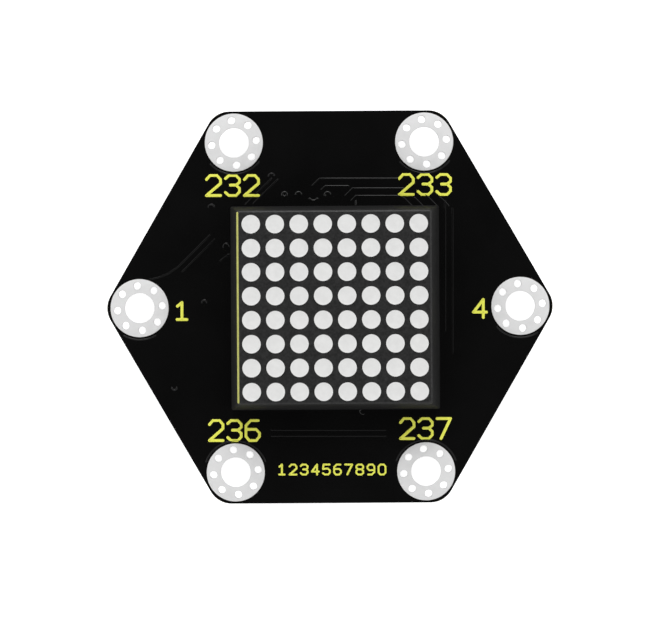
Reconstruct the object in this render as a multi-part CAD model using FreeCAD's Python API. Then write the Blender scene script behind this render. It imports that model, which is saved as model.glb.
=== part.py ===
import FreeCAD, Part
import math
import os

# All sizes are in millimetres. The origin is the centre of the six terminals, on the back face of
# the circuit board. +Z points out of the display, and +X runs through the left and right terminals.

# Ring terminals
terminal_circle = 40.0
terminal_hole = 3.1
terminal_ring = 6.1
land_height = 0.05
via_circle = 4.7
via_hole = 0.75
via_count = 8
via_turn = 6.2

# Circuit board: its flats lie a little outside the terminals' rings
board_thickness = 1.6
ring_to_edge = 0.23
board_corner_radius = 2.5

# Light cells: each one narrows from a round window in the face to a square well over its die
cell_count = 8
cell_pitch = 2.5
window_diameter = 1.95
well_size = 1.0

# Display housing: its sides spread from the face to the base, and the face has a fine bevel
display_shift_x = 0.55
display_shift_y = -0.08
display_height = 6.0
window_to_edge = 0.375
base_spread_x = 0.8
base_spread_y = 0.6
housing_corner_radius = 0.5
face_bevel = 0.12
housing_wall = 1.0
cavity_depth = 1.9

# Light sources and the small board that carries them
die_size = 0.3
die_height = 0.15
carrier_thickness = 1.0
carrier_clearance = 0.1

# Display pins in two rows, placed from the cavity's walls and cut short behind the circuit board
pins_per_row = 8
pin_width = 0.5
pin_row_inset = 2.28
pin_end_inset = 0.81
pin_stick_out = 1.5
pin_hole_clearance = 0.45
solder_foot = 1.7
solder_tip = 0.8
solder_height = 1.0

# Driver circuit: a flat moulded package with leads on its two long sides
driver_length = 17.9
driver_width = 7.5
driver_height = 2.35
driver_stand_off = 0.1
driver_draft = 0.18
driver_bevel = 0.35
driver_dimple = 1.2
driver_dimple_depth = 0.1
lead_count = 14
lead_pitch = 1.27
lead_width = 0.42
lead_thickness = 0.25
lead_reach = 1.4
lead_foot = 0.85

# Chip capacitors and resistors: length, width and height of the ceramic body
bulk_capacitor = (2.0, 1.25, 1.1)
bypass_capacitor = (1.6, 0.8, 0.8)
pull_up_resistor = (1.6, 0.8, 0.45)
end_share = 0.2
end_wrap = 0.02
chip_gap = 1.6
resistor_spacing = 2.6

# Small round shapes that repeat have few flat sides: a window's number is a multiple of four
window_sides = 16
via_sides = 8
joint_sides = 6

# Names of the six terminals, counted anticlockwise from the right-hand one
terminal_names = (
    "terminal_right",
    "terminal_upper_right",
    "terminal_upper_left",
    "terminal_left",
    "terminal_lower_left",
    "terminal_lower_right",
)

# Sizes and levels worked out from those above
face_size = (cell_count - 1) * cell_pitch + window_diameter + 2 * window_to_edge
base_size_x = face_size + 2 * base_spread_x
base_size_y = face_size + 2 * base_spread_y
cavity_size_x = base_size_x - 2 * housing_wall
cavity_size_y = base_size_y - 2 * housing_wall
pin_row_spacing = cavity_size_x - 2 * pin_row_inset
pin_pitch = (cavity_size_y - 2 * pin_end_inset) / (pins_per_row - 1)
board_top = board_thickness
face_level = board_top + display_height
cavity_ceiling = board_top + cavity_depth
carrier_top = cavity_ceiling - die_height
carrier_bottom = carrier_top - carrier_thickness
driver_top = -driver_stand_off
driver_middle = driver_top - driver_height / 2
driver_bottom = driver_top - driver_height


def point(x, y, z):
    return FreeCAD.Vector(x, y, z)


def display_point(x, y, z):
    return point(display_shift_x + x, display_shift_y + y, z)


def along(count, pitch):
    """Places of a centred row."""
    return [(i - (count - 1) / 2) * pitch for i in range(count)]


def block(centre, size_x, size_y, height):
    """A box that stands on its centre point."""
    corner = centre - point(size_x / 2, size_y / 2, 0)
    return Part.makeBox(size_x, size_y, height, corner)


def ring_points(centre, diameter, sides, first_turn=0.0):
    """Evenly spaced points on a level circle."""
    turns = [first_turn + 2 * math.pi * i / sides for i in range(sides)]
    return [centre + point(math.cos(t), math.sin(t), 0) * (diameter / 2) for t in turns]


def flat_face(corners):
    return Part.Face(Part.makePolygon(corners + corners[:1]))


def closed_solid(faces):
    return Part.Solid(Part.Shell(faces))


def stacked_solid(outlines):
    """A solid with flat sides through level outlines that have the same number of corners."""
    faces = [flat_face(outlines[0]), flat_face(outlines[-1])]
    for low, high in zip(outlines, outlines[1:]):
        for i in range(len(low)):
            j = (i + 1) % len(low)
            faces.append(flat_face([low[i], low[j], high[j], high[i]]))
    return closed_solid(faces)


def small_post(centre, diameter, height, sides):
    outline = ring_points(centre, diameter, sides)
    return flat_face(outline).extrude(point(0, 0, height))


def rectangle(centre, size_x, size_y):
    sides = ((-1, -1), (1, -1), (1, 1), (-1, 1))
    return [centre + point(x * size_x / 2, y * size_y / 2, 0) for x, y in sides]


def rounded_outline(centre, size_x, size_y, radius):
    """A rectangle with round corners, at its centre point's level."""
    along_x = size_x / 2 - radius
    along_y = size_y / 2 - radius
    edges = []
    for quarter, (side_x, side_y) in enumerate(((1, 1), (-1, 1), (-1, -1), (1, -1))):
        middle = centre + point(side_x * along_x, side_y * along_y, 0)
        edges.append(Part.makeCircle(radius, middle, point(0, 0, 1), 90 * quarter, 90 * quarter + 90))
    wire_edges = []
    for i, arc in enumerate(edges):
        following = edges[(i + 1) % 4]
        wire_edges.append(arc)
        wire_edges.append(Part.makeLine(arc.Vertexes[-1].Point, following.Vertexes[0].Point))
    return Part.Wire(wire_edges)


def terminal_centre(index):
    turn = math.radians(60 * index)
    return point(math.cos(turn), math.sin(turn), 0) * (terminal_circle / 2)


def pin_centres():
    rows = []
    for side in (-1, 1):
        for y in along(pins_per_row, pin_pitch):
            rows.append(display_point(side * pin_row_spacing / 2, side * y, 0))
    return rows


def cell_centres(level):
    row = along(cell_count, cell_pitch)
    return [display_point(x, y, level) for y in row for x in row]


def cell(centre):
    """One light cell: its flat-sided wall turns from the square well into the round window."""
    well_centre = point(centre.x, centre.y, cavity_ceiling)
    window_centre = point(centre.x, centre.y, face_level)
    well = ring_points(well_centre, well_size * math.sqrt(2), 4, math.pi / 4)
    window = ring_points(window_centre, window_diameter, window_sides)
    faces = [flat_face(well), flat_face(window)]
    for i in range(window_sides):
        nearest = 4 * i // window_sides
        faces.append(flat_face([window[i], window[(i + 1) % window_sides], well[nearest]]))
    for side in range(4):
        meeting = (side + 1) * window_sides // 4 % window_sides
        faces.append(flat_face([well[side], well[(side + 1) % 4], window[meeting]]))
    return closed_solid(faces)


def circuit_board():
    flat = terminal_circle / 2 * math.cos(math.pi / 6) + terminal_ring / 2 + ring_to_edge
    corners = ring_points(point(0, 0, 0), 2 * flat / math.cos(math.pi / 6), 6)
    board = flat_face(corners).extrude(point(0, 0, board_thickness))
    upright = [e for e in board.Edges if abs(e.tangentAt(e.FirstParameter).z) > 0.5]
    board = board.makeFillet(board_corner_radius, upright)
    holes = [
        Part.makeCylinder(terminal_ring / 2, board_thickness, terminal_centre(i))
        for i in range(len(terminal_names))
    ]
    pin_hole = pin_width + pin_hole_clearance
    for centre in pin_centres():
        holes.append(small_post(centre, pin_hole, board_thickness, joint_sides))
    return board.cut(holes)


def terminal(index):
    """A collar through the board, a land's height proud of both faces, with a ring of small holes."""
    foot = terminal_centre(index) - point(0, 0, land_height)
    height = board_thickness + 2 * land_height
    collar = Part.makeCylinder(terminal_ring / 2, height, foot)
    holes = [Part.makeCylinder(terminal_hole / 2, height, foot)]
    for place in ring_points(foot, via_circle, via_count, math.radians(via_turn)):
        holes.append(small_post(place, via_hole, height, via_sides))
    return collar.cut(holes)


def display_housing():
    sections = [
        (board_top, base_size_x, base_size_y),
        (face_level - face_bevel, face_size, face_size),
        (face_level, face_size - 2 * face_bevel, face_size - 2 * face_bevel),
    ]
    outlines = [
        rounded_outline(display_point(0, 0, level), size_x, size_y, housing_corner_radius)
        for level, size_x, size_y in sections
    ]
    shell = Part.makeLoft(outlines, True, True)
    foot = display_point(0, 0, board_top)
    hollows = [block(foot, cavity_size_x, cavity_size_y, cavity_depth)]
    hollows += [cell(centre) for centre in cell_centres(0)]
    return shell.cut(hollows)


def window_castings():
    """Clear resin, cast into every cell and flush with the face."""
    return Part.makeCompound([cell(centre) for centre in cell_centres(0)])


def led_dies():
    return Part.makeCompound(
        [block(c, die_size, die_size, die_height) for c in cell_centres(carrier_top)]
    )


def filled_cavity(bottom, height, clearance):
    """A plate that fills the housing's cavity and has a square hole for each pin."""
    size_x = cavity_size_x - 2 * clearance
    size_y = cavity_size_y - 2 * clearance
    plate = block(display_point(0, 0, bottom), size_x, size_y, height)
    holes = [block(c + point(0, 0, bottom), pin_width, pin_width, height) for c in pin_centres()]
    return plate.cut(holes)


def display_carrier():
    return filled_cavity(carrier_bottom, carrier_thickness, carrier_clearance)


def display_potting():
    return filled_cavity(board_top, carrier_bottom - board_top, 0)


def display_pin(centre):
    foot = point(centre.x, centre.y, -pin_stick_out)
    return block(foot, pin_width, pin_width, carrier_top + pin_stick_out)


def pin_solder():
    """A cone of solder round each pin, on the board's back."""
    joints = []
    for centre in pin_centres():
        low = centre - point(0, 0, solder_height)
        tip = ring_points(low, solder_tip, joint_sides)
        foot = ring_points(centre, solder_foot, joint_sides)
        pin = block(low, pin_width, pin_width, solder_height)
        joints.append(stacked_solid([tip, foot]).cut(pin))
    return Part.makeCompound(joints)


def driver_outline(level, inset):
    centre = display_point(0, 0, level)
    return rectangle(centre, driver_width - 2 * inset, driver_length - 2 * inset)


def driver_package():
    """A moulding that is widest at its leads, with a bevel and a dimple that mark its first lead."""
    package = stacked_solid(
        [
            driver_outline(driver_bottom, driver_draft),
            driver_outline(driver_middle - lead_thickness / 2, 0),
            driver_outline(driver_middle + lead_thickness / 2, 0),
            driver_outline(driver_top, driver_draft),
        ]
    )
    edge = display_point(-driver_width / 2 + driver_draft, 0, driver_bottom)
    bevel = Part.makeBox(driver_bevel, driver_length, driver_bevel)
    bevel.translate(point(-driver_bevel / 2, -driver_length / 2, -driver_bevel / 2))
    bevel.rotate(point(0, 0, 0), point(0, 1, 0), 45)
    bevel.translate(edge)
    dimple_place = display_point(
        -driver_width / 2 + 2 * driver_dimple,
        driver_length / 2 - 2 * driver_dimple,
        driver_bottom,
    )
    dimple = small_post(dimple_place, driver_dimple, driver_dimple_depth, via_sides)
    return package.cut([bevel, dimple])


def driver_lead(side, y):
    """One lead: out of the package, down to the board's back and out along it."""
    root = driver_width / 2
    toe = root + lead_reach
    heel = toe - lead_foot
    knee = (root + heel) / 2 + lead_thickness / 2
    half = lead_thickness / 2
    profile = [
        (root, driver_middle + half),
        (knee - lead_thickness, driver_middle + half),
        (heel, 0),
        (toe, 0),
        (toe, -lead_thickness),
        (heel + lead_thickness, -lead_thickness),
        (knee, driver_middle - half),
        (root, driver_middle - half),
    ]
    corners = [display_point(side * x, y - lead_width / 2, z) for x, z in profile]
    return flat_face(corners).extrude(point(0, lead_width, 0))


def driver_leads(side):
    return Part.makeCompound([driver_lead(side, y) for y in along(lead_count, lead_pitch)])


def chip_parts(place, size, upright):
    """A chip's ceramic body and its two wrapped metal ends, against the board's back."""
    length, width, height = size
    end_length = end_share * length
    reach = length / 2 + end_wrap
    wrapped_width = width + 2 * end_wrap
    wrapped_height = height + 2 * end_wrap
    body = block(point(0, 0, -height - end_wrap), length, width, height)
    ends = []
    for side in (-1, 1):
        middle = side * (reach - (end_length + end_wrap) / 2)
        foot = point(middle, 0, -wrapped_height)
        end = block(foot, end_length + end_wrap, wrapped_width, wrapped_height)
        ends.append(end.cut(body))
    parts = [body, Part.makeCompound(ends)]
    for part in parts:
        if upright:
            part.rotate(point(0, 0, 0), point(0, 0, 1), 90)
        part.translate(place)
    return parts


def chips():
    """The supply's two capacitors beyond one end of the driver, the resistors beyond the other."""
    end = driver_length / 2
    bypass_y = end + chip_gap
    bulk_y = bypass_y + bypass_capacitor[1] / 2 + chip_gap + bulk_capacitor[1] / 2
    resistor_y = -end - chip_gap - pull_up_resistor[0] / 2
    half_gap = resistor_spacing / 2
    return {
        "bypass_capacitor": chip_parts(display_point(0, bypass_y, 0), bypass_capacitor, False),
        "bulk_capacitor": chip_parts(display_point(0, bulk_y, 0), bulk_capacitor, False),
        "data_resistor": chip_parts(display_point(-half_gap, resistor_y, 0), pull_up_resistor, True),
        "clock_resistor": chip_parts(display_point(half_gap, resistor_y, 0), pull_up_resistor, True),
    }


def all_parts():
    parts = {"circuit_board": circuit_board()}
    for i, name in enumerate(terminal_names):
        parts[name] = terminal(i)
    parts["display_housing"] = display_housing()
    parts["window_castings"] = window_castings()
    parts["led_dies"] = led_dies()
    parts["display_carrier"] = display_carrier()
    parts["display_potting"] = display_potting()
    for i, centre in enumerate(pin_centres()):
        parts[f"display_pin_{i + 1:02d}"] = display_pin(centre)
    parts["pin_solder"] = pin_solder()
    parts["driver_package"] = driver_package()
    parts["driver_leads_left"] = driver_leads(-1)
    parts["driver_leads_right"] = driver_leads(1)
    for name, (body, ends) in chips().items():
        parts[f"{name}_body"] = body
        parts[f"{name}_ends"] = ends
    return parts


os.makedirs("parts", exist_ok=True)
for node, shape in all_parts().items():
    shape.exportStep(f"parts/{node}.step")
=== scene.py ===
import math

import bmesh
import bpy
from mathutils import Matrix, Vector


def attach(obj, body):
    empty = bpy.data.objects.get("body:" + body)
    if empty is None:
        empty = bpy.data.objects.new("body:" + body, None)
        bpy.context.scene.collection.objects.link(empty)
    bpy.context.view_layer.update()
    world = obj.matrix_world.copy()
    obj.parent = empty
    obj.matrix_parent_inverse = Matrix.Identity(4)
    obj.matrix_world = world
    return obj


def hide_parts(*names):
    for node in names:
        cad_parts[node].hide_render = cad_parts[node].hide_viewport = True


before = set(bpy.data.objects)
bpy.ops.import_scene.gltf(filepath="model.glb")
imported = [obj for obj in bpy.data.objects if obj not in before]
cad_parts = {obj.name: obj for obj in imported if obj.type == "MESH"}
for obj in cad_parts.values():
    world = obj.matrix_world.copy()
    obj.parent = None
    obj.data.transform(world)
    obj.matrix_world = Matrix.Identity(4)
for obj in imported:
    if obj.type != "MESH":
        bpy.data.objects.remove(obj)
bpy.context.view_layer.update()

# Sizes are in millimetres and Blender's own unit is the metre
MM = 0.001
# Points this near a level, in millimetres, lie on it
NEAR = 0.001
# How far a cutter stands out of what it cuts
overshoot = 1.0
# Sides of a terminal's ring, of its hole, of a window or the dimple, and of what is smaller
ring_sides = 96
hole_sides = 72
window_sides = 48
small_sides = 32

# Circuit board and its solder mask
board_thickness = 1.6
board_flat = 20.6005
board_corner_radius = 2.5
mask_thickness = 0.02
mask_front = board_thickness + mask_thickness
mask_back = -mask_thickness
# Gap between the mask and a terminal
mask_gap = 0.01

# Ring terminals, counted anticlockwise from the right-hand one
terminal_names = (
    "terminal_right",
    "terminal_upper_right",
    "terminal_upper_left",
    "terminal_left",
    "terminal_lower_left",
    "terminal_lower_right",
)
terminal_circle = 40.0
terminal_hole = 3.1
terminal_ring = 6.1
land_height = 0.05
land_round = 0.04
via_circle = 4.7
via_hole = 0.75
via_count = 8
via_turn = 6.2
mask_dam_radius = 3.32
mask_dam_width = 0.13
mask_dam_height = 0.018
mask_dam_points = 30

# First and last angle of the step that the mask makes round each terminal, clear of the board's edge
dam_spans = ((222, 302), (220, 322), (222, 322), (240, 300), (20, 160), (20, 160))

# Display
display_x = 0.55
display_y = -0.08
face_level = 7.6
face_size_x = 20.26
face_size_y = 20.2
face_shift_x = -0.04
face_shift_y = 0.06
base_size_x = 21.9
base_size_y = 21.4
cavity_size_x = 19.8
cavity_size_y = 19.4
cavity_ceiling = 3.5
housing_corner_radius = 0.2
face_bevel = 0.06
face_lip_width = 0.11
face_lip_drop = 0.04
cell_count = 8
cell_pitch = 2.5
window_diameter = 1.93
well_diameter = 1.3
casting_dip = 0.05
casting_rim = 0.05
# Widths of the rings of a casting's dished top, as multiples of its rim
casting_rings = (1, 3, 6)
edge_line_width = 0.24
edge_line_height = 0.06
edge_line_inset = 0.04

# Pins and their solder
pin_count = 8
pin_pitch = 2.54
pin_row_spacing = 15.24
pin_width = 0.5
pin_pad = 1.9
pad_level = -0.05
fillet_height = 1.0
fillet_radius = 0.85
fillet_sides = 28
# A fillet's steps, its radius at the pin as a share of its foot's, and how hollow its side is
fillet_steps = 8
fillet_waist = 0.36
fillet_hollow = 2.4
# Its top's radius as a share of the pin's width, and its sunk rim's as a share of its foot's
fillet_top = 0.35
fillet_rim = 0.5
pin_tip_solder = 0.12
first_pad_corner = 0.12

# Driver circuit and its leads
driver_length = 17.9
driver_width = 7.5
driver_top = -0.1
driver_bottom = -2.45
driver_draft = 0.18
driver_dimple = 1.2
driver_dimple_depth = 0.1
driver_soft_edge = 0.06
lead_count = 14
lead_pitch = 1.27
lead_width = 0.42
lead_thickness = 0.25
lead_reach = 1.4
lead_foot = 0.85
lead_root = 0.2
lead_shoulder = 0.3
lead_bend = 0.2
lead_soft_edge = 0.03
lead_pad_ends = 0.3
lead_pad_sides = 0.1
lead_joint_height = 0.16
lead_joint_margin = 0.03
lead_joint_soft_edge = 0.07
# Length and width of the joint's top as shares of its foot's
lead_joint_top = (0.78, 0.74)

# Chip capacitors and resistors: length, width and height
bulk_capacitor = (2.0, 1.25, 1.1)
bypass_capacitor = (1.6, 0.8, 0.8)
pull_up_resistor = (1.6, 0.8, 0.45)
end_share = 0.2
end_wrap = 0.02
chip_gap = 1.6
resistor_spacing = 2.6
chip_solder_climb = 0.6
chip_solder_root = 0.25
chip_solder_reach = 0.42
chip_soft_edge = 0.05
end_soft_edge = 0.06
chip_pad_sides = 0.15
chip_pad_inside = 0.05
chip_pad_outside = 0.1
chip_pad_corner = 0.1

# Printed ink
ink_height = 0.018
ink_width = 0.3
row_ink_width = 0.2
back_ink_width = 0.2
print_margin = 0.35
first_mark_gap = 1.4
first_mark_radius = 0.12
first_mark_points = 12
back_number_gap = 5.6
back_number_width = 1.3
back_number_height = 2.0

# Points of a covered via's ring, and the sizes of the tracks and the covered vias on the back
via_points = 20
back_track_width = 0.32
back_via_width = 0.16
back_track_height = 0.03
back_via_radius = 0.26
track_overlap = 0.2
# A lead's distance from the row's middle as a share of its pin's
lead_share_of_pin = 0.86

# The photograph's frame in pixels, and where the board lies in it, counted from the first pixel's centre
photo_width = 666
photo_height = 619
photo_middle_x = (photo_width - 1) / 2
photo_middle_y = (photo_height - 1) / 2
board_pixel_x = 329.5
board_pixel_y = 306.46
pixels_per_mm = 9.52
board_turn = math.radians(0.35)


def place_of_pixel(x, y):
    """The point of the board's front, in millimetres, that the photograph shows at a pixel."""
    right = (x - board_pixel_x) / pixels_per_mm
    up = (board_pixel_y - y) / pixels_per_mm
    turn = -board_turn
    return (
        right * math.cos(turn) - up * math.sin(turn),
        right * math.sin(turn) + up * math.cos(turn),
    )


def along(count, pitch):
    """Places of a centred row."""
    return [(i - (count - 1) / 2) * pitch for i in range(count)]


# Modelling helpers


def select_only(piece):
    if bpy.context.mode != "OBJECT":
        bpy.ops.object.mode_set(mode="OBJECT")
    bpy.ops.object.select_all(action="DESELECT")
    piece.select_set(True)
    bpy.context.view_layer.objects.active = piece


def named(name):
    """The object that an operator has just made, with its own name."""
    piece = bpy.context.object
    piece.name = name
    piece.data.name = name
    return piece


def apply_place(piece):
    select_only(piece)
    bpy.ops.object.transform_apply(location=True, rotation=True, scale=True)


def cylinder(name, centre, diameter, low, high, sides, turn=0.0):
    bpy.ops.object.select_all(action="DESELECT")
    bpy.ops.mesh.primitive_cylinder_add(
        vertices=sides,
        radius=diameter / 2 * MM,
        depth=(high - low) * MM,
        location=(centre[0] * MM, centre[1] * MM, (low + high) / 2 * MM),
        rotation=(0, 0, turn),
    )
    piece = named(name)
    apply_place(piece)
    return piece


def block(name, centre, size_x, size_y, low, high):
    bpy.ops.object.select_all(action="DESELECT")
    bpy.ops.mesh.primitive_cube_add(
        size=1,
        location=(centre[0] * MM, centre[1] * MM, (low + high) / 2 * MM),
    )
    piece = named(name)
    piece.scale = (size_x * MM, size_y * MM, (high - low) * MM)
    apply_place(piece)
    return piece


def edit(piece, kind, action="SELECT"):
    """Goes to edit mode with all vertices, edges or faces selected, or none."""
    select_only(piece)
    modes = {"verts": (True, False, False), "edges": (False, True, False), "faces": (False, False, True)}
    bpy.context.tool_settings.mesh_select_mode = modes[kind]
    bpy.ops.object.mode_set(mode="EDIT")
    bpy.ops.mesh.select_all(action=action)


def edit_selected(piece, kind, test):
    """Goes to edit mode with the vertices, edges or faces selected whose points all pass the test."""
    edit(piece, kind, "DESELECT")
    mesh = bmesh.from_edit_mesh(piece.data)
    for element in getattr(mesh, kind):
        points = [element.co] if kind == "verts" else [v.co for v in element.verts]
        if all(test(point / MM) for point in points):
            element.select_set(True)
    bmesh.update_edit_mesh(piece.data)


def leave_edit():
    bpy.ops.object.mode_set(mode="OBJECT")


def bevel_edges(piece, test, width, steps=3):
    edit_selected(piece, "edges", test)
    bpy.ops.mesh.bevel(offset=width * MM, segments=steps, affect="EDGES", clamp_overlap=True)
    leave_edit()


def bevel_uprights(piece, width, steps):
    """Rounds the edges that run from the piece's bottom to its top."""
    edit(piece, "edges", "DESELECT")
    mesh = bmesh.from_edit_mesh(piece.data)
    levels = [v.co.z for v in mesh.verts]
    half = (max(levels) - min(levels)) / 2
    for edge in mesh.edges:
        edge.select_set(abs(edge.verts[0].co.z - edge.verts[1].co.z) > half)
    bmesh.update_edit_mesh(piece.data)
    bpy.ops.mesh.bevel(offset=width * MM, segments=steps, affect="EDGES")
    leave_edit()


def apply_modifier(piece, kind, **settings):
    select_only(piece)
    modifier = piece.modifiers.new(kind.lower(), kind)
    for name, value in settings.items():
        setattr(modifier, name, value)
    bpy.ops.object.modifier_apply(modifier=modifier.name)


def soften(piece, width, angle, steps):
    """Bevels the edges that turn by more than an angle in radians."""
    limits = {"limit_method": "ANGLE", "angle_limit": angle}
    apply_modifier(piece, "BEVEL", width=width * MM, segments=steps, **limits)


def cut(piece, cutters):
    cutter = joined("cutter", cutters)
    apply_modifier(piece, "BOOLEAN", operation="DIFFERENCE", solver="EXACT", object=cutter)
    bpy.data.objects.remove(cutter)


def joined(name, pieces):
    select_only(pieces[0])
    for piece in pieces:
        piece.select_set(True)
    if len(pieces) > 1:
        bpy.ops.object.join()
    return named(name)


def copied(piece, name, x=0.0, y=0.0, turn=0.0):
    """A copy with its own mesh, turned about the origin and then moved."""
    select_only(piece)
    bpy.ops.object.duplicate()
    copy = named(name)
    copy.rotation_euler.z = turn
    copy.location = (x * MM, y * MM, 0)
    apply_place(copy)
    return copy


def removed(piece):
    bpy.data.objects.remove(piece)


def smooth(piece, degrees=35):
    select_only(piece)
    bpy.ops.object.shade_smooth_by_angle(angle=math.radians(degrees))


def traced(name, points):
    """An open line of edges through the points: a plane is merged to one vertex, which is extruded."""
    bpy.ops.object.select_all(action="DESELECT")
    bpy.ops.mesh.primitive_plane_add(size=MM)
    piece = named(name)
    edit(piece, "verts")
    bpy.ops.mesh.merge(type="CENTER")
    bpy.ops.transform.translate(value=Vector(points[0]) * MM)
    for start, end in zip(points, points[1:]):
        step = (Vector(end) - Vector(start)) * MM
        bpy.ops.mesh.extrude_region_move(TRANSFORM_OT_translate={"value": step})
    leave_edit()
    return piece


def spun(name, profile, steps):
    """A round piece about the Z axis from a profile of (radius, level) points."""
    piece = traced(name, [(radius, 0, level) for radius, level in profile])
    edit(piece, "verts")
    bpy.ops.mesh.spin(steps=steps, angle=2 * math.pi, center=(0, 0, 0), axis=(0, 0, 1))
    bpy.ops.mesh.select_all(action="SELECT")
    bpy.ops.mesh.remove_doubles(threshold=0.0005 * MM)
    bpy.ops.mesh.normals_make_consistent(inside=False)
    leave_edit()
    smooth(piece)
    return piece


def round_ended(line, radius):
    """A line's points with more at each end, where the share of the width falls off in a half circle."""
    shares = (0.06, 0.2, 0.45, 1.0)
    ends = []
    for tip, inner in ((line[0], line[1]), (line[-1], line[-2])):
        outward = (Vector(tip) - Vector(inner)).normalized()
        ring = []
        for share in shares:
            spot = Vector(tip) + outward * radius * (1 - share)
            ring.append((spot.x, spot.y, math.sqrt(1 - (1 - share) ** 2)))
        ends.append(ring)
    middle = [(x, y, 1.0) for x, y in line[1:-1]]
    return ends[0] + middle + ends[1][::-1]


def bead(name, lines, width, height, level):
    """Low ridges with a round back and round ends along flat lines, half sunk in what carries them."""
    bpy.ops.object.select_all(action="DESELECT")
    bpy.ops.object.add(type="CURVE")
    curve = named(name).data
    curve.dimensions = "3D"
    curve.bevel_depth = width / 2 * MM
    curve.bevel_resolution = 3
    curve.use_fill_caps = True
    for line in lines:
        points = round_ended(line, width / 2)
        spline = curve.splines.new("POLY")
        spline.points.add(len(points) - 1)
        for spot, (x, y, share) in zip(spline.points, points):
            spot.co = (x * MM, y * MM, 0, 1)
            spot.radius = share
    bpy.ops.object.convert(target="MESH")
    piece = named(name)
    piece.scale.z = height / (width / 2)
    piece.location.z = level * MM
    apply_place(piece)
    smooth(piece, 60)
    return piece


def arc(centre, radius, first, last, count=24):
    """Points on a flat arc between two angles in degrees."""
    turns = [math.radians(first + (last - first) * i / (count - 1)) for i in range(count)]
    return [(centre[0] + radius * math.cos(t), centre[1] + radius * math.sin(t)) for t in turns]


# Material helpers


def linear(code):
    """A linear colour with alpha from an sRGB hex code."""
    parts = [int(code[i : i + 2], 16) / 255 for i in (0, 2, 4)]
    return tuple(c / 12.92 if c <= 0.04045 else ((c + 0.055) / 1.055) ** 2.4 for c in parts) + (1.0,)


def add_node(tree, kind, inputs, stops=(), **settings):
    """Adds a node. An input is a value, or a pair of a node and its output. A stop is a place on a
    colour ramp and a hex code."""
    made = tree.nodes.new(kind)
    for name, value in settings.items():
        setattr(made, name, value)
    for socket, value in inputs.items():
        if isinstance(value, tuple) and isinstance(value[0], bpy.types.Node):
            tree.links.new(value[0].outputs[value[1]], made.inputs[socket])
        else:
            made.inputs[socket].default_value = value
    for i, (position, code) in enumerate(stops):
        made.color_ramp.elements[i].position = position
        made.color_ramp.elements[i].color = linear(code)
    return made


def patches(place, width):
    """The inputs of a noise at a place, whose patches are about so many millimetres wide."""
    return {"Vector": place, "Scale": 1 / (width * MM)}


def spread(low, high, start=0.3, end=0.7):
    """Values that spread a range, by itself a noise's usual one, between two numbers."""
    return {"From Min": start, "From Max": end, "To Min": low, "To Max": high}


def new_material(name):
    """An empty material and its node tree."""
    material = bpy.data.materials.new(name)
    material.use_nodes = True
    material.node_tree.nodes.clear()
    return material, material.node_tree


def shaded(material, clouds, polish, raised, colours, roughness, **plain):
    """Gives a material its colour from the noise of its clouds, its roughness from that of its polish and
    its relief from a bump. Plain holds the shader's other values."""
    tree = material.node_tree
    stops = ((0.3, colours[0]), (0.7, colours[1]))
    colour = add_node(tree, "ShaderNodeValToRGB", {"Fac": (clouds, "Fac")}, stops)
    rough = add_node(tree, "ShaderNodeMapRange", {"Value": (polish, "Fac"), **spread(*roughness)})
    look = {"Base Color": (colour, "Color"), "Roughness": (rough, "Result"), "Normal": (raised, "Normal")}
    shader = add_node(tree, "ShaderNodeBsdfPrincipled", {**look, **plain})
    add_node(tree, "ShaderNodeOutputMaterial", {"Surface": (shader, "BSDF")})
    return material


# Materials


def clouded(
    name, colours, roughness, cloud, grain, depth, sheen=0.0, cloud_detail=3.0, grain_detail=2.0, **plain
):
    """Clouds of colour and roughness over a finer grain. The widths of the clouds and the grain and the
    grain's depth are in millimetres. Where sheen is given, it is the width of the roughness's own clouds."""
    material, tree = new_material(name)
    place = (add_node(tree, "ShaderNodeTexCoord", {}), "Object")
    clouds = add_node(tree, "ShaderNodeTexNoise", {**patches(place, cloud), "Detail": cloud_detail})
    polish = add_node(tree, "ShaderNodeTexNoise", patches(place, sheen)) if sheen else clouds
    grains = add_node(tree, "ShaderNodeTexNoise", {**patches(place, grain), "Detail": grain_detail})
    raised = add_node(tree, "ShaderNodeBump", {"Height": (grains, "Fac"), "Distance": depth * MM})
    return shaded(material, clouds, polish, raised, colours, roughness, **plain)


def make_laminate():
    """Glass cloth in epoxy, routed at the edge: dry and tan, with the cut ends of the cloth's level
    layers a fifth of a millimetre apart, paler where the glass is and darker where the resin is."""
    material, tree = new_material("routed_glass_epoxy")
    place = (add_node(tree, "ShaderNodeTexCoord", {}), "Object")
    levelled = add_node(tree, "ShaderNodeMapping", {"Vector": place, "Scale": (0.1, 0.1, 1.0)})
    cloth = {**patches((levelled, "Vector"), 0.2), "Detail": 3.0}
    layers = add_node(tree, "ShaderNodeTexNoise", cloth)
    fibres = add_node(tree, "ShaderNodeTexNoise", patches(place, 0.1))
    fuzz = add_node(tree, "ShaderNodeBump", {"Height": (fibres, "Fac"), "Distance": 0.004 * MM})
    steps = {"Height": (layers, "Fac"), "Distance": 0.006 * MM, "Normal": (fuzz, "Normal")}
    raised = add_node(tree, "ShaderNodeBump", steps)
    return shaded(material, layers, layers, raised, ("6F674B", "979069"), (0.6, 0.8), IOR=1.5)


def make_tinned_copper():
    """Copper dipped in tin and levelled by hot air: a pale, nearly even satin metal, frosted by its fine
    crystals. The crystals are drawn about five times coarser than they are, so that they show."""
    material, tree = new_material("levelled_tin_on_copper")
    place = (add_node(tree, "ShaderNodeTexCoord", {}), "Object")
    clouds = add_node(tree, "ShaderNodeTexNoise", patches(place, 0.8))
    crystals = add_node(tree, "ShaderNodeTexVoronoi", patches(place, 0.12))
    frost = {"Height": (crystals, "Distance"), "Distance": 0.0015 * MM}
    raised = add_node(tree, "ShaderNodeBump", frost)
    colours = ("E8E8E8", "ECECEC")
    return shaded(material, clouds, clouds, raised, colours, (0.68, 0.76), Metallic=0.55)


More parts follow.
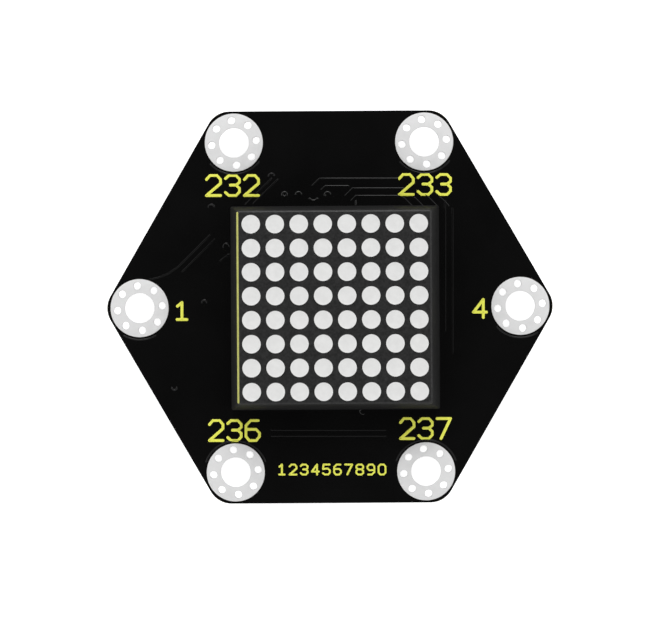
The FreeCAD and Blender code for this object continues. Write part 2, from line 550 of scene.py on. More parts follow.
laminate = make_laminate()
tinned_copper = make_tinned_copper()

# Epoxy mask, flooded over the copper and cured glossy: deep black, with long soft ripples a millimetre or
# so apart in what it mirrors, and wide clouds where the coat is thicker
solder_mask = clouded(
    "glossy_black_solder_mask",
    ("0A0A0A", "0D0D0D"),
    (0.11, 0.15),
    cloud=6.0,
    grain=1.2,
    depth=0.0015,
    sheen=2.5,
    cloud_detail=2.0,
    IOR=1.5,
)

# Black polycarbonate from a spark-eroded mould: matte, with the mould's fine even grain, drawn about three
# times coarser than it is, so that it shows
housing_plastic = clouded(
    "spark_grained_black_polycarbonate",
    ("070707", "242424"),
    (0.38, 0.46),
    cloud=0.22,
    grain=0.16,
    depth=0.008,
    sheen=0.5,
    grain_detail=3.0,
    IOR=1.5,
)

# The same plastic on the sides, coloured darker than the face as painted shade, where the steep sides get
# less
# light: dull and even, with a low sheen and faint clouds from the draw out of the mould
side_plastic_with_painted_shade = clouded(
    "black_polycarbonate_with_painted_shade",
    ("0E0E0E", "181818"),
    (0.62, 0.7),
    cloud=1.2,
    grain=0.4,
    depth=0.0005,
    **{"IOR": 1.5, "Specular IOR Level": 0.3},
)

# Epoxy with a white diffuser, cast in the windows: even, milky and satin, a shade deeper where the powder
# has settled in clouds of half a millimetre
diffusing_resin = clouded(
    "milky_diffusing_epoxy",
    ("E2E2E1", "E8E8E7"),
    (0.45, 0.55),
    cloud=0.6,
    grain=0.2,
    depth=0.002,
    cloud_detail=2.0,
    IOR=1.5,
)

# Epoxy ink, pulled through a screen: flat, opaque and warm yellow, a little uneven where the mesh let it
# through, which is drawn about three times coarser than it is
board_ink = clouded("yellow_epoxy_ink", ("EFF154", "F7F962"), (0.5, 0.65), 0.35, 0.15, 0.003, IOR=1.5)

# Paint wiped along the edge of the moulding: the same yellow, dulled by the black under it
edge_ink = clouded("dulled_yellow_paint", ("B4B45C", "C4C46C"), (0.5, 0.65), 0.35, 0.15, 0.003, IOR=1.5)

# Tin and lead that froze round the joint: bright and smooth, with slow waves in what it mirrors
solder = clouded("bright_solder", ("DADADA", "ECECEC"), (0.14, 0.24), 0.6, 0.4, 0.002, Metallic=1.0)

# Brass wire drawn and dipped in tin: a soft grey metal with faint streaks
tinned_wire = clouded("tinned_wire", ("C8C8C4", "DEDEDA"), (0.28, 0.4), 0.2, 0.1, 0.002, Metallic=1.0)

# Copper alloy, stamped, plated with matte tin and bent: greyer and duller than the solder
tinned_lead = clouded(
    "matte_tin_plate", ("B8B8B6", "D2D2D0"), (0.34, 0.46), 0.3, 0.12, 0.002, Metallic=1.0
)

# Silver paste fired on the chip's end and plated with tin: satin, with a slightly lumpy skin
tinned_end = clouded("fired_tin_end", ("C4C4C0", "E0E0DC"), (0.3, 0.45), 0.25, 0.12, 0.003, Metallic=1.0)

# Black epoxy full of glass powder, from a matte mould: charcoal, dry, with a fine pale speckle
moulding_epoxy = clouded(
    "glass_filled_moulding_epoxy", ("1A1A1B", "272728"), (0.55, 0.7), 0.15, 0.12, 0.006, IOR=1.5
)

# Barium titanate, fired bare: smooth tan with faint darker clouds
capacitor_ceramic = clouded(
    "fired_tan_ceramic", ("8A6C48", "A08058"), (0.45, 0.6), 0.3, 0.1, 0.003, IOR=1.5
)

# The black glaze over a film resistor: darker and glossier than the ceramic under it
resistor_ceramic = clouded(
    "black_resistor_glaze", ("101011", "19191A"), (0.22, 0.36), 0.3, 0.15, 0.003, IOR=1.5
)

# Gallium phosphide, sawn to a small block: amber and half shiny
led_die = clouded("sawn_gallium_phosphide", ("C8B060", "D8C478"), (0.3, 0.45), 0.1, 0.05, 0.001, IOR=1.5)

# Laminate with a white coat, which throws the light forward: chalky and even
white_laminate = clouded(
    "white_coated_laminate", ("D8D8D0", "E6E6DE"), (0.5, 0.65), 0.6, 0.25, 0.003, IOR=1.5
)

# Filled grey epoxy, poured and levelled by itself: smooth, with slow swirls
potting_resin = clouded("poured_grey_epoxy", ("74746E", "8A8A84"), (0.35, 0.5), 1.2, 0.5, 0.004, IOR=1.5)


def finish_piece(piece, material, replaces=()):
    piece.data.materials.clear()
    piece.data.materials.append(material)
    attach(piece, "root")
    if replaces:
        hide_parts(*replaces)


def laid(name, lines, width, height, level, material=solder_mask):
    """Beads of mask, ink or paint with their finish."""
    finish_piece(bead(name, lines, width, height, level), material)


# Circuit board


def board_outline(name, low, high):
    """A rounded hexagon with its corners at the terminals."""
    corner = board_flat / math.cos(math.pi / 6)
    piece = cylinder(name, (0, 0), 2 * corner, low, high, 6, math.pi / 6)
    bevel_uprights(piece, board_corner_radius * math.tan(math.pi / 6), 14)
    return piece


def terminal_place(index):
    turn = math.radians(60 * index)
    return terminal_circle / 2 * math.cos(turn), terminal_circle / 2 * math.sin(turn)


def mask_sheet(name, low, high):
    """A coat of mask with an opening for each terminal."""
    sheet = board_outline(name, low, high)
    width = terminal_ring + 2 * mask_gap
    openings = [
        cylinder("opening", terminal_place(i), width, low - overshoot, high + overshoot, ring_sides)
        for i in range(len(terminal_names))
    ]
    cut(sheet, openings)
    smooth(sheet)
    finish_piece(sheet, solder_mask)


def make_mask_sheets():
    mask_sheet("solder_mask_front", board_thickness, mask_front)
    mask_sheet("solder_mask_back", mask_back, 0.0)


def make_terminals():
    """One plated ring with round small holes and soft rims, copied to the six corners."""
    low = -land_height
    high = board_thickness + land_height
    ring = cylinder("ring", (0, 0), terminal_ring, low, high, ring_sides)
    holes = [cylinder("hole", (0, 0), terminal_hole, low - overshoot, high + overshoot, hole_sides)]
    for i in range(via_count):
        turn = math.radians(via_turn + 360 * i / via_count)
        spot = (via_circle / 2 * math.cos(turn), via_circle / 2 * math.sin(turn))
        hole = cylinder("hole", spot, via_hole, low - overshoot, high + overshoot, small_sides)
        holes.append(hole)
    cut(ring, holes)
    rim = (via_circle + via_hole) / 2 + NEAR
    for level in (low, high):
        bevel_edges(ring, lambda p: abs(p.z - level) < NEAR and p.xy.length > rim, land_round, 2)
    smooth(ring)
    for i, name in enumerate(terminal_names):
        x, y = terminal_place(i)
        finish_piece(copied(ring, name + "_ring", x, y), tinned_copper, (name,))
    removed(ring)
    dams = []
    for i, span in enumerate(dam_spans):
        dams.append(arc(terminal_place(i), mask_dam_radius, *span, mask_dam_points))
    laid("mask_dams", dams, mask_dam_width, mask_dam_height, mask_front)


# Display


def cell_places():
    row = along(cell_count, cell_pitch)
    return [(display_x + x, display_y + y) for y in row for x in row]


def cell_cone(name, place, high):
    bpy.ops.object.select_all(action="DESELECT")
    depth = high - cavity_ceiling
    slope = (window_diameter - well_diameter) / (face_level - cavity_ceiling)
    bpy.ops.mesh.primitive_cone_add(
        vertices=window_sides,
        radius1=well_diameter / 2 * MM,
        radius2=(well_diameter + slope * depth) / 2 * MM,
        depth=depth * MM,
        location=(place[0] * MM, place[1] * MM, (cavity_ceiling + high) / 2 * MM),
    )
    piece = named(name)
    apply_place(piece)
    return piece


def make_castings():
    """One casting with a dished top, copied to the 64 windows."""
    first = cell_cone("casting", (0, 0), face_level)
    edit_selected(first, "faces", lambda p: abs(p.z - face_level) < NEAR)
    depth = -casting_dip / len(casting_rings)
    for width in casting_rings:
        bpy.ops.mesh.inset(thickness=width * casting_rim * MM, depth=depth * MM)
    leave_edit()
    smooth(first, 60)
    copies = [copied(first, "casting_copy", x, y) for x, y in cell_places()]
    removed(first)
    piece = joined("diffusing_castings", copies)
    finish_piece(piece, diffusing_resin, ("window_castings",))


def make_housing():
    """The moulding: plain sides that spread to the base, soft corners, a grained face with a lip that
    slopes away round it, and 64 round windows."""
    place = (display_x, display_y)
    top = face_level - face_lip_drop
    piece = block("moulded_housing", place, base_size_x, base_size_y, mask_front, top)
    edit_selected(piece, "faces", lambda p: p.z > top - NEAR)
    bpy.ops.transform.resize(
        value=(face_size_x / base_size_x, face_size_y / base_size_y, 1),
        center_override=(display_x * MM, display_y * MM, 0),
    )
    bpy.ops.transform.translate(value=(face_shift_x * MM, face_shift_y * MM, 0))
    leave_edit()
    bevel_uprights(piece, housing_corner_radius, 8)
    bevel_edges(piece, lambda p: p.z > top - NEAR, face_bevel, 3)
    edit_selected(piece, "faces", lambda p: p.z > top - NEAR)
    bpy.ops.mesh.inset(thickness=face_lip_width * MM, depth=face_lip_drop * MM)
    leave_edit()
    cutters = [block("hollow", place, cavity_size_x, cavity_size_y, 0, cavity_ceiling)]
    cutters += [cell_cone("window", spot, face_level + overshoot / 2) for spot in cell_places()]
    cut(piece, cutters)
    smooth(piece, 16)
    finish_piece(piece, housing_plastic, ("display_housing",))
    # The steep sides take the darker copy of the plastic, whose colour is painted shade
    piece.data.materials.append(side_plastic_with_painted_shade)
    sides_top = top - face_bevel + NEAR
    inside = cavity_size_y / 2 + NEAR
    edit_selected(
        piece,
        "faces",
        lambda p: p.z < sides_top and max(abs(p.x - display_x), abs(p.y - display_y)) > inside,
    )
    piece.active_material_index = 1
    bpy.ops.object.material_slot_assign()
    leave_edit()


def make_edge_line():
    """A thin line of paint along the left edge of the display's face."""
    x = display_x + face_shift_x - face_size_x / 2 + edge_line_inset
    y = display_y + face_shift_y
    half = face_size_y / 2 - edge_line_width
    line = [(x, y - half), (x, y + half)]
    level = face_level - edge_line_height
    laid("edge_paint_line", [line], edge_line_width, edge_line_height, level, edge_ink)


# Numbers, drawn with a round pen: each figure's strokes on a field one wide and one high

digits = {
    "0": [[(0, 0.2), (0, 0.8), (0.25, 1), (0.75, 1), (1, 0.8), (1, 0.2), (0.75, 0), (0.25, 0), (0, 0.2)]],
    "1": [[(0.15, 0.78), (0.5, 1)], [(0.5, 1), (0.5, 0)], [(0.12, 0), (0.88, 0)]],
    "2": [[(0, 0.8), (0.25, 1), (0.75, 1), (1, 0.8), (1, 0.6)], [(1, 0.6), (0, 0)], [(0, 0), (1, 0)]],
    "3": [
        [(0, 0.85), (0.25, 1), (0.75, 1), (1, 0.82), (1, 0.66), (0.75, 0.52)],
        [(0.35, 0.52), (0.75, 0.52)],
        [(0.75, 0.52), (1, 0.36), (1, 0.18), (0.75, 0), (0.25, 0), (0, 0.15)],
    ],
    "4": [[(0.75, 0), (0.75, 1)], [(0.75, 1), (0, 0.3)], [(0, 0.3), (1, 0.3)]],
    "5": [
        [(0.95, 1), (0.08, 1)],
        [(0.08, 1), (0, 0.56)],
        [(0, 0.56), (0.7, 0.6), (1, 0.42), (1, 0.2), (0.75, 0), (0.25, 0), (0, 0.13)],
    ],
    "6": [
        [(0.9, 1), (0.35, 1), (0, 0.75), (0, 0.2), (0.25, 0)],
        [(0.25, 0), (0.75, 0), (1, 0.2), (1, 0.38), (0.75, 0.56), (0, 0.56)],
    ],
    "7": [[(0, 1), (1, 1)], [(1, 1), (0.3, 0)]],
    "8": [
        [(0.25, 0.53), (0, 0.68), (0, 0.85), (0.25, 1), (0.75, 1), (1, 0.85), (1, 0.68), (0.75, 0.53)],
        [(0.25, 0.53), (0, 0.36), (0, 0.16), (0.25, 0), (0.75, 0), (1, 0.16), (1, 0.36), (0.75, 0.53)],
        [(0.25, 0.53), (0.75, 0.53)],
    ],
    "9": [
        [(0.1, 0), (0.65, 0), (1, 0.25), (1, 0.8), (0.75, 1), (0.25, 1)],
        [(0.25, 1), (0, 0.8), (0, 0.62), (0.25, 0.44), (1, 0.44)],
    ],
}

# Each label: its figures, the pixels of its left, top, right and bottom, a figure's share of its
# pitch, and the pen's width in millimetres
labels = {
    "number_upper_left": ("232", (206, 175, 258, 195), 0.74, ink_width),
    "number_upper_right": ("233", (399, 174, 450, 194), 0.74, ink_width),
    "number_left": ("1", (175, 302, 188, 319), 1.0, ink_width),
    "number_right": ("4", (473, 299, 486, 317), 1.0, ink_width),
    "number_lower_left": ("236", (209, 420, 259, 440), 0.74, ink_width),
    "number_lower_right": ("237", (400, 418, 450, 438), 0.74, ink_width),
    "number_row": ("1234567890", (278, 464, 385, 474), 0.62, row_ink_width),
}


def make_label(name, figures, box, share, pen):
    """A row of figures that fills a box of pixels."""
    left, top, right, bottom = box
    pitch = (right - left) / (len(figures) - 1 + share)
    lines = []
    for i, figure in enumerate(figures):
        start = left + i * pitch
        for stroke in digits[figure]:
            spots = [(start + x * share * pitch, bottom - y * (bottom - top)) for x, y in stroke]
            lines.append([place_of_pixel(*spot) for spot in spots])
    laid(name, lines, pen, ink_height, mask_front, board_ink)


def make_numbers():
    for name, (figures, box, share, pen) in labels.items():
        make_label(name, figures, box, share, pen)


# Copper tracks on the front, seen as low ridges in the mask: each group's name, its ridges' width and
# height in millimetres, and the pixels of its lines
front_tracks = {
    ("upper_track_ridges", 0.16, 0.019): (
        ((397, 178), (319, 178), (312, 185)),
        ((348, 185.5), (325, 185.5), (321, 189)),
        ((403, 187.8), (352, 187.8), (345, 195)),
        ((399, 195.3), (355.5, 195.3), (351, 199.8)),
        ((355.3, 200.5), (355.3, 205)),
        ((403, 197), (411, 205)),
        ((414, 197), (422, 205)),
        ((425, 194), (436, 205)),
        ((440, 197), (448, 205)),
    ),
    ("left_track_ridges", 0.15, 0.01): (
        ((271, 178), (245, 204)),
        ((277, 179), (253, 203)),
        ((209, 235), (178, 266), (168, 273), (158, 277), (149, 279)),
        ((228, 254), (220, 260)),
        ((226, 256), (234, 251)),
    ),
    ("right_track_ridges", 0.2, 0.008): (
        ((444.5, 200), (444.5, 330)), ((451.8, 208), (451.8, 352)),
    ),
    ("second_left_ridge", 0.15, 0.008): (((214, 239), (182, 271)),),
    ("lower_track_ridges", 0.14, 0.009): (
        ((271, 429.4), (385, 429.4)), ((271, 435.4), (385, 435.4)),
    ),
}

# Covered vias on the front: each group's name, its ridges' width and height in millimetres, then for
# each via the pixel of its centre, its radius in pixels, and its ridge's first and last angle in degrees
front_vias = {
    ("front_covered_vias", 0.26, 0.05): (
        (284, 194, 2.2, 0, 350),
        (298, 194.4, 2.6, 20, 170),
        (313, 195.6, 4.6, 215, 325),
        (327, 194.4, 2.6, 20, 200),
    ),
    ("front_sunken_vias", 0.16, 0.026): (
        (271, 176, 3, 20, 170),
        (211, 207, 3, 20, 170),
        (226, 246, 3, 10, 190),
        (363, 410, 3.4, 90, 270),
        (204, 302, 2.4, 0, 180),
        (174, 387, 2.4, 180, 360),
    ),
}


def make_front_tracks():
    for (name, width, height), tracks in front_tracks.items():
        lines = [[place_of_pixel(*spot) for spot in track] for track in tracks]
        laid(name, lines, width, height, mask_front)
    for (name, width, height), vias in front_vias.items():
        rings = []
        for x, y, radius, first, last in vias:
            rings.append(arc(place_of_pixel(x, y), radius / pixels_per_mm, first, last, via_points))
        laid(name, rings, width, height, mask_front)


# Back of the board


def pin_places():
    spots = []
    for side in (-1, 1):
        for y in along(pin_count, pin_pitch):
            spots.append((display_x + side * pin_row_spacing / 2, display_y + side * y))
    return spots


def make_pin_solder():
    """One fillet that rises hollow-sided round its pin, copied to the 16 pins."""
    profile = [(pin_width * fillet_top, -fillet_height - pin_tip_solder)]
    for i in range(fillet_steps + 1):
        share = i / fillet_steps
        radius = fillet_radius * (fillet_waist + (1 - fillet_waist) * share**fillet_hollow)
        profile.append((radius, -fillet_height * (1 - share)))
    profile.append((fillet_radius * fillet_rim, 0.0))
    fillet = spun("fillet", profile, fillet_sides)
    copies = [copied(fillet, "fillet_copy", x, y) for x, y in pin_places()]
    removed(fillet)
    piece = joined("pin_fillets", copies)
    finish_piece(piece, solder, ("pin_solder",))


def make_driver():
    """The moulded package: draft to both faces, soft edges and a round dimple at the first lead."""
    middle = (driver_top + driver_bottom) / 2
    place = (display_x, display_y)
    piece = block("driver_moulding", place, driver_width, driver_length, driver_bottom, driver_top)
    centre = (display_x * MM, display_y * MM, middle * MM)
    for shift in (-lead_thickness / 2, lead_thickness / 2):
        edit_selected(piece, "faces", lambda p: True)
        level = (middle + shift) * MM
        bpy.ops.mesh.bisect(plane_co=(centre[0], centre[1], level), plane_no=(0, 0, 1))
        leave_edit()
    for level in (driver_bottom, driver_top):
        edit_selected(piece, "faces", lambda p: abs(p.z - level) < NEAR)
        bpy.ops.transform.resize(
            value=(1 - 2 * driver_draft / driver_width, 1 - 2 * driver_draft / driver_length, 1),
            center_override=centre,
        )
        leave_edit()
    soften(piece, driver_soft_edge, 0.15, 2)
    dimple_place = (
        display_x - driver_width / 2 + 2 * driver_dimple,
        display_y + driver_length / 2 - 2 * driver_dimple,
    )
    dimple_top = driver_bottom + driver_dimple_depth
    low = driver_bottom - overshoot
    dimple = cylinder("dimple", dimple_place, driver_dimple, low, dimple_top, window_sides)
    bevel_edges(dimple, lambda p: abs(p.z - dimple_top) < NEAR, driver_dimple_depth / 2, 3)
    cut(piece, [dimple])
    smooth(piece, 30)
    finish_piece(piece, moulding_epoxy, ("driver_package",))


def bent(points, reach, steps=5):
    """A line through the points whose corners are rounded, each over the given length."""
    line = [Vector(points[0])]
    for before, corner, after in zip(points, points[1:], points[2:]):
        before, corner, after = Vector(before), Vector(corner), Vector(after)
        entry = corner + (before - corner).normalized() * reach
        leave = corner + (after - corner).normalized() * reach
        for i in range(steps + 1):
            t = i / steps
            line.append(entry * (1 - t) ** 2 + corner * 2 * t * (1 - t) + leave * t**2)
    line.append(Vector(points[-1]))
    return line


def widened(strip, shift):
    """Extrudes all of a line or a face along Y by so many millimetres."""
    edit(strip, "verts")
    bpy.ops.mesh.extrude_region_move(TRANSFORM_OT_translate={"value": (0, shift * MM, 0)})
    bpy.ops.mesh.select_all(action="SELECT")
    bpy.ops.mesh.normals_make_consistent(inside=False)
    leave_edit()


def make_lead():
    """A gull-wing lead on the right of the package: a bent strip that is given its thickness."""
    middle = (driver_top + driver_bottom) / 2
    root = driver_width / 2
    toe = root + lead_reach
    heel = toe - lead_foot
    foot = -lead_thickness / 2 + mask_back
    side = -lead_width / 2
    corners = [
        (root - lead_root, side, middle),
        (root + lead_shoulder, side, middle),
        (heel, side, foot),
        (toe, side, foot),
    ]
    strip = traced("lead", bent(corners, lead_bend))
    widened(strip, lead_width)
    apply_modifier(strip, "SOLIDIFY", thickness=lead_thickness * MM, offset=0)
    soften(strip, lead_soft_edge, 1.0, 2)
    smooth(strip, 40)
    return strip


def lead_joint():
    """The pad under a lead's foot and the solder that climbs its sides, heel and toe."""
    toe = driver_width / 2 + lead_reach
    inner = toe - lead_foot - lead_pad_ends
    outer = toe + lead_pad_ends
    centre = ((inner + outer) / 2, 0)
    length = outer - inner
    width = lead_width + 2 * lead_pad_sides
    pad = block("pad", centre, length, width, pad_level, 0)
    bevel_uprights(pad, lead_pad_sides, 3)
    low = pad_level - lead_joint_height
    margin = 2 * lead_joint_margin
    joint = block("joint", centre, length - margin, width - margin, low, pad_level)
    edit_selected(joint, "faces", lambda p: p.z < low + NEAR)
    foot = (centre[0] * MM, 0, pad_level * MM)
    bpy.ops.transform.resize(value=(*lead_joint_top, 1), center_override=foot)
    leave_edit()
    soften(joint, lead_joint_soft_edge, 0.5, 3)
    smooth(joint, 60)
    return pad, joint


def make_leads():
    """One lead, its pad and its solder, copied to the 14 places of each side."""
    lead = make_lead()
    pad, joint = lead_joint()
    pads = []
    joints = []
    for side, turn in (("right", 0.0), ("left", math.pi)):
        leads = []
        for y in along(lead_count, lead_pitch):
            spot = (display_x, display_y + y)
            leads.append(copied(lead, "lead_copy", *spot, turn))
            pads.append(copied(pad, "pad_copy", *spot, turn))
            joints.append(copied(joint, "joint_copy", *spot, turn))
        piece = joined(f"gull_leads_{side}", leads)
        finish_piece(piece, tinned_lead, (f"driver_leads_{side}",))
    for part in (lead, pad, joint):
        removed(part)
    finish_piece(joined("lead_pads", pads), tinned_copper)
    finish_piece(joined("lead_solder", joints), solder)


def make_pin_pads():
    """A round pad under each pin's solder, with the first pin's pad square."""
    pads = []
    for i, spot in enumerate(pin_places()):
        if i == 0:
            pad = block("pad", spot, pin_pad, pin_pad, pad_level, 0)
            bevel_uprights(pad, first_pad_corner, 3)
        else:
            pad = cylinder("pad", spot, pin_pad, pad_level, 0, small_sides)
        pads.append(pad)
    finish_piece(joined("pin_pads", pads), tinned_copper)


def chip_places():
    """Each chip's node, place, size, and whether it stands along Y."""
    end = driver_length / 2
    bypass_y = end + chip_gap
    bulk_y = bypass_y + bypass_capacitor[1] / 2 + chip_gap + bulk_capacitor[1] / 2
    resistor_y = -end - chip_gap - pull_up_resistor[0] / 2
    half = resistor_spacing / 2
    return (
        ("bypass_capacitor", (display_x, display_y + bypass_y), bypass_capacitor, False),
        ("bulk_capacitor", (display_x, display_y + bulk_y), bulk_capacitor, False),
        ("data_resistor", (display_x - half, display_y + resistor_y), pull_up_resistor, True),
        ("clock_resistor", (display_x + half, display_y + resistor_y), pull_up_resistor, True),
    )


def chip_body(size):
    length, width, height = size
    body = block("body", (0, 0), length - 3 * end_wrap, width, -height - end_wrap, -end_wrap)
    soften(body, chip_soft_edge, 0.5, 2)
    smooth(body, 30)
    return body


def chip_end(size):
    """A fired metal end with soft edges, wrapped round the ceramic on five sides."""
    length, width, height = size
    end_length = end_share * length + end_wrap
    middle = length / 2 + end_wrap - end_length / 2
    end = block("end", (middle, 0), end_length, width + 2 * end_wrap, -height - 2 * end_wrap, 0)
    soften(end, end_soft_edge, 0.5, 3)
    smooth(end, 40)
    return end


def chip_joint(size):
    """Solder that climbs hollow-sided from the pad to the chip's end, and the pad below it."""
    length, width, height = size
    face = length / 2
    climb = chip_solder_climb * height
    profile = [(face - chip_solder_root, 0, 0), (face - chip_solder_root, 0, -climb), (face, 0, -climb)]
    for i in range(1, fillet_steps + 1):
        t = i / fillet_steps
        level = -climb * (1 - t) ** fillet_hollow + pad_level * t
        profile.append((face + chip_solder_reach * t, 0, level))
    profile.append((face + chip_solder_reach, 0, 0))
    joint = traced("joint", profile)
    edit_selected(joint, "verts", lambda p: True)
    bpy.ops.mesh.edge_face_add()
    bpy.ops.transform.translate(value=(0, -width / 2 * MM, 0))
    leave_edit()
    widened(joint, width)
    smooth(joint, 35)
    inner = length / 2 - end_share * length - chip_pad_inside
    outer = face + chip_solder_reach + chip_pad_outside
    pad = block("pad", ((inner + outer) / 2, 0), outer - inner, width + 2 * chip_pad_sides, pad_level, 0)
    bevel_uprights(pad, chip_pad_corner, 3)
    return joint, pad


def make_chips():
    pads = []
    joints = []
    for node, place, size, upright in chip_places():
        turn = math.pi / 2 if upright else 0.0
        ceramic, slot = resistor_ceramic, "resistor_ceramic"
        if "capacitor" in node:
            ceramic, slot = capacitor_ceramic, "capacitor_ceramic"
        body = chip_body(size)
        piece = copied(body, node + "_ceramic", *place, turn)
        finish_piece(piece, ceramic, (node + "_body",))
        end = chip_end(size)
        joint, pad = chip_joint(size)
        ends = []
        for half_turn in (0.0, math.pi):
            ends.append(copied(end, "end_copy", *place, turn + half_turn))
            joints.append(copied(joint, "joint_copy", *place, turn + half_turn))
            pads.append(copied(pad, "pad_copy", *place, turn + half_turn))
        finish_piece(joined(node + "_metal_ends", ends), tinned_end, (node + "_ends",))
        for part in (body, end, joint, pad):
            removed(part)
    finish_piece(joined("chip_pads", pads), tinned_copper)
    finish_piece(joined("chip_solder", joints), solder)


# Track on the back from each terminal to its chip, as points in millimetres
terminal_tracks = {
    "terminal_upper_left": ((-3.0, 17.3), (-3.0, 14.6), (-1.6, 13.2)),
    "terminal_upper_right": ((4.1, 17.3), (4.1, 14.6), (2.7, 13.2)),
    "terminal_left": (
        *((-12.4, 0.0), (-10.6, 1.8), (-10.6, 9.5), (-8.0, 12.1)),
        *((-4.0, 12.1), (-2.4, 10.5), (-1.0, 10.5)),
    ),
    "terminal_right": (
        *((12.4, 0.0), (10.6, 1.8), (10.6, 9.5), (8.0, 12.1)),
        *((5.1, 12.1), (3.5, 10.5), (2.1, 10.5)),
    ),
    "terminal_lower_left": ((-3.2, -17.3), (-3.2, -14.4), (-1.4, -12.6)),
    "terminal_lower_right": ((4.3, -17.3), (4.3, -14.4), (2.5, -12.6)),
}

# Centres of the covered vias on the back, in millimetres
back_vias = (
    *((-10.6, 6.0), (-10.6, 7.4), (10.6, 6.0), (-10.6, -4.0), (10.6, -4.0)),
    *((-4.5, 15.6), (5.6, 15.6), (-5.6, -15.4), (6.4, -15.4)),
)


def pin_tracks():
    """A track from each pin to the nearest lead of its side, with a slanted run between them."""
    toe = driver_width / 2 + lead_reach
    pin_x = pin_row_spacing / 2
    middle = (toe + pin_x) / 2
    leads = along(lead_count, lead_pitch)
    lines = []
    for side in (-1, 1):
        for y in along(pin_count, pin_pitch):
            lead_y = min(leads, key=lambda place: abs(place - y * lead_share_of_pin))
            drop = abs(y - lead_y)
            corners = [(toe, lead_y), (middle - drop / 2, lead_y), (middle + drop / 2, y), (pin_x, y)]
            lines.append([(display_x + side * a, display_y + b) for a, b in corners])
    return lines


def make_back_tracks():
    lines = pin_tracks()
    for name, corners in terminal_tracks.items():
        centre = Vector(terminal_place(terminal_names.index(name)))
        start = centre + (Vector(corners[0]) - centre).normalized() * (terminal_ring / 2 - track_overlap)
        lines.append([tuple(start), *corners])
    laid("back_track_ridges", lines, back_track_width, back_track_height, mask_back)
    rings = [arc(spot, back_via_radius, 0, 345, via_points) for spot in back_vias]
    laid("back_covered_vias", rings, back_via_width, back_track_height, mask_back)


def loop(centre, reach_x, reach_y):
    """Four lines of a rectangle round a centre."""
    x, y = centre
    left, right, low, high = x - reach_x, x + reach_x, y - reach_y, y + reach_y
    return [
        [(left, low), (right, low)],
        [(right, low), (right, high)],
        [(right, high), (left, high)],
        [(left, high), (left, low)],
    ]


def make_back_print():
    """Outlines round the driver and the chips, the first pin's mark, and each terminal's number."""
    place = (display_x, display_y)
    lines = loop(place, driver_width / 2 - print_margin, driver_length / 2 + print_margin)
    for _, place, size, upright in chip_places():
        reach = (size[0] / 2 + chip_solder_reach + print_margin, size[1] / 2 + print_margin)
        lines += loop(place, *(reach[::-1] if upright else reach))
    x, y = pin_places()[0]
    lines.append(arc((x - first_mark_gap, y), first_mark_radius, 0, 350, first_mark_points))
    inward = 1 - back_number_gap / (terminal_circle / 2)
    for i in range(len(terminal_names)):
        x, y = terminal_place(i)
        for stroke in digits[str(i + 1)]:
            line = [
                (x * inward + (0.5 - a) * back_number_width, y * inward + (b - 0.5) * back_number_height)
                for a, b in stroke
            ]
            lines.append(line)
    laid("back_print", lines, back_ink_width, ink_height, mask_back, board_ink)


def carried_over(node, material):
    """A CAD node that stays as it is and gets its finish."""
    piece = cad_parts[node]
    piece.data.materials.clear()
    piece.data.materials.append(material)


def dress_cad_nodes():
    carried_over("circuit_board", laminate)
    carried_over("led_dies", led_die)
    carried_over("display_carrier", white_laminate)
    carried_over("display_potting", potting_resin)
    for i in range(2 * pin_count):
        carried_over(f"display_pin_{i + 1:02d}", tinned_wire)


# Camera, floor and light

camera_height = 0.72
camera_lens = 370.5
sensor_width = 36.0
floor_level = driver_bottom
floor_size = 4.0
floor_grey = 0.85
floor_glow = 0.75
lamp_distance = 0.8
lamp_size = 0.4

# The studio's light at the horizon, and the height where it is full, from 0 level to 1 straight up
horizon_light = 0.5
full_height = 0.4
# The light of the black flags, and the heights where they begin and are full
flag_light = 0.02
flag_start = 0.84
flag_end = 0.93

# Each lamp: its bearing and its height in degrees, and its power
lamps = {
    "far_lamp": (90, 45, 1.5),
    "left_lamp": (165, 60, 0.2),
    "right_lamp": (15, 60, 0.2),
}


def make_camera():
    data = bpy.data.cameras.new("camera")
    data.lens = camera_lens
    data.sensor_width = sensor_width
    data.clip_end = 20
    camera = bpy.data.objects.new("camera", data)
    x = (photo_middle_x - board_pixel_x) / pixels_per_mm
    y = (board_pixel_y - photo_middle_y) / pixels_per_mm
    camera.location = (x * MM, y * MM, camera_height + board_thickness * MM)
    camera.rotation_euler = (0, 0, -board_turn)
    bpy.context.collection.objects.link(camera)
    bpy.context.scene.camera = camera


def make_floor():
    """Pale floor that the camera sees from above only, bright enough to be white out of shadow."""
    bpy.ops.object.select_all(action="DESELECT")
    bpy.ops.mesh.primitive_plane_add(size=floor_size, location=(0, 0, floor_level * MM))
    floor = named("floor")
    material, tree = new_material("white_floor")
    grey = (floor_grey, floor_grey, floor_grey, 1)
    diffuse = add_node(tree, "ShaderNodeBsdfDiffuse", {"Color": grey})
    glow = add_node(tree, "ShaderNodeEmission", {"Strength": floor_glow})
    lit = add_node(tree, "ShaderNodeAddShader", {0: (diffuse, "BSDF"), 1: (glow, "Emission")})
    clear = add_node(tree, "ShaderNodeBsdfTransparent", {})
    path = add_node(tree, "ShaderNodeLightPath", {})
    side = add_node(tree, "ShaderNodeNewGeometry", {})
    above = add_node(tree, "ShaderNodeMath", {0: 1.0, 1: (side, "Backfacing")}, operation="SUBTRACT")
    both = {0: (path, "Is Camera Ray"), 1: (above, "Value")}
    seen = add_node(tree, "ShaderNodeMath", both, operation="MULTIPLY")
    mixed = add_node(
        tree, "ShaderNodeMixShader", {0: (seen, "Value"), 1: (clear, "BSDF"), 2: (lit, "Shader")}
    )
    add_node(tree, "ShaderNodeOutputMaterial", {"Surface": (mixed, "Shader")})
    floor.data.materials.append(material)


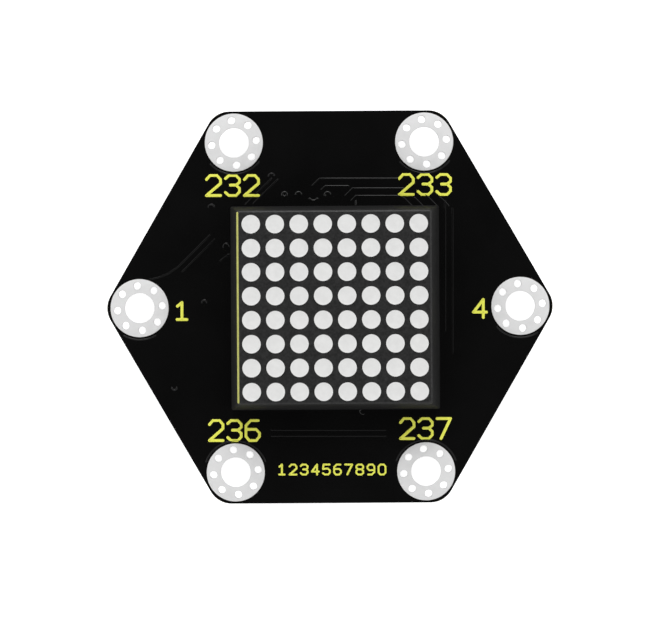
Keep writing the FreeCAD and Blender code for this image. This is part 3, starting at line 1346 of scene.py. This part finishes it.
def make_world():
    """A white studio all round, dimmer at the horizon. Straight above and below hang black flags, which
    the glossy mask mirrors, so that it stays black. The camera itself sees plain white."""
    world = bpy.data.worlds.new("studio")
    bpy.context.scene.world = world
    world.use_nodes = True
    tree = world.node_tree
    tree.nodes.clear()
    direction = add_node(tree, "ShaderNodeTexCoord", {})
    parts = add_node(tree, "ShaderNodeSeparateXYZ", {"Vector": (direction, "Generated")})
    height = add_node(tree, "ShaderNodeMath", {0: (parts, "Z")}, operation="ABSOLUTE")
    rise = {"Value": (height, "Value"), **spread(horizon_light, 1.0, 0.0, full_height)}
    horizon = add_node(tree, "ShaderNodeMapRange", rise)
    fall = {"Value": (height, "Value"), **spread(1.0, flag_light, flag_start, flag_end)}
    flags = add_node(tree, "ShaderNodeMapRange", fall)
    both = {0: (horizon, "Result"), 1: (flags, "Result")}
    level = add_node(tree, "ShaderNodeMath", both, operation="MULTIPLY")
    white = (1.0, 1.0, 1.0, 1.0)
    around = add_node(tree, "ShaderNodeBackground", {"Color": white, "Strength": (level, "Value")})
    plain = add_node(tree, "ShaderNodeBackground", {"Color": white, "Strength": 1.0})
    path = add_node(tree, "ShaderNodeLightPath", {})
    choice = {0: (path, "Is Camera Ray"), 1: (around, "Background"), 2: (plain, "Background")}
    mixed = add_node(tree, "ShaderNodeMixShader", choice)
    add_node(tree, "ShaderNodeOutputWorld", {"Surface": (mixed, "Shader")})


def make_lamp(name, bearing, height, power):
    """A square soft lamp that faces the object."""
    data = bpy.data.lights.new(name, "AREA")
    data.size = lamp_size
    data.energy = power
    lamp = bpy.data.objects.new(name, data)
    turn = math.radians(bearing)
    rise = math.radians(height)
    away = Vector((math.cos(turn) * math.cos(rise), math.sin(turn) * math.cos(rise), math.sin(rise)))
    lamp.location = away * lamp_distance
    lamp.rotation_euler = away.to_track_quat("Z", "Y").to_euler()
    bpy.context.collection.objects.link(lamp)


def make_stage():
    make_camera()
    make_floor()
    make_world()
    for name, (bearing, height, power) in lamps.items():
        make_lamp(name, bearing, height, power)
    bpy.context.scene.view_settings.view_transform = "Standard"


make_mask_sheets()
make_terminals()
make_castings()
make_housing()
make_edge_line()
make_numbers()
make_front_tracks()
make_pin_pads()
make_pin_solder()
make_driver()
make_leads()
make_chips()
make_back_tracks()
make_back_print()
dress_cad_nodes()
make_stage()
